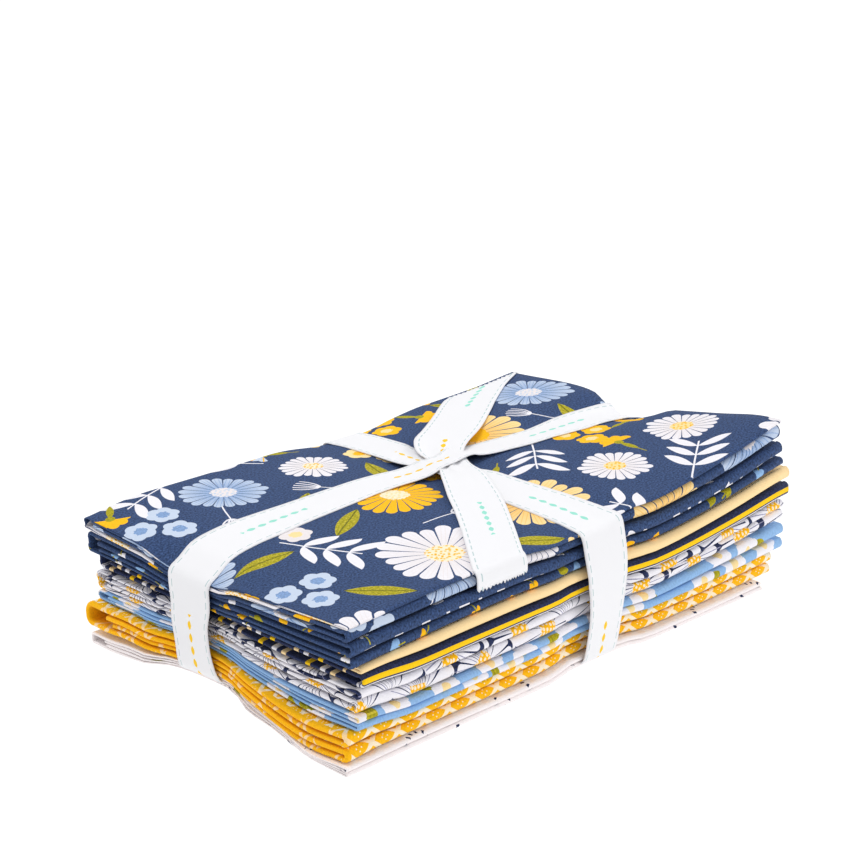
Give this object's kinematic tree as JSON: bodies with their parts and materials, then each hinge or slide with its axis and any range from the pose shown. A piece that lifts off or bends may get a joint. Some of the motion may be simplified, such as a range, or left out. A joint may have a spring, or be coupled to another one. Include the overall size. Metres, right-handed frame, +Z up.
{
  "type": "tied stack of folded cotton fabric cuts",
  "caption": "Flat stack of printed cotton cuts folded to one rectangle, tied both ways with a flat ribbon knotted on top with two free ends.",
  "frame": {"origin": "middle of the underside, on the surface that the stack rests on", "axes": "+Z up, +X along the length of the stack towards its raw edges, -Y towards the front folds"},
  "size_m": [0.2369, 0.1502, 0.0687],
  "materials": {
    "cream_sprig_cotton": "matte plain-weave cotton, cream with sparse navy sprigs",
    "yellow_trellis_cotton": "matte plain-weave cotton, mustard yellow with a cream trellis",
    "blue_daisy_cotton": "matte plain-weave cotton, sky blue with white daisies",
    "white_daisy_cotton": "matte plain-weave cotton, white with navy-outlined daisies",
    "striped_cotton": "matte plain-weave cotton, stripes in peach, navy, yellow and white",
    "navy_tulip_cotton": "matte plain-weave cotton, navy with small scattered flower heads",
    "navy_floral_cotton": "matte plain-weave cotton, navy with large daisies and blossoms",
    "white_ribbon": "white woven ribbon with a soft satin sheen and a fine stitched line along each edge"
  },
  "bodies": {
    "root": {"cut_cream_sprig": "cream_sprig_cotton", "cut_yellow_trellis": "yellow_trellis_cotton", "cut_blue_daisy": "blue_daisy_cotton", "cut_white_daisy": "white_daisy_cotton", "cut_stripe": "striped_cotton", "cut_navy_tulip": "navy_tulip_cotton", "cut_navy_floral": "navy_floral_cotton", "ribbon_lengthwise": "white_ribbon", "ribbon_crosswise": "white_ribbon", "ribbon_knot_and_ends": "white_ribbon"}
  },
  "joints": []
}
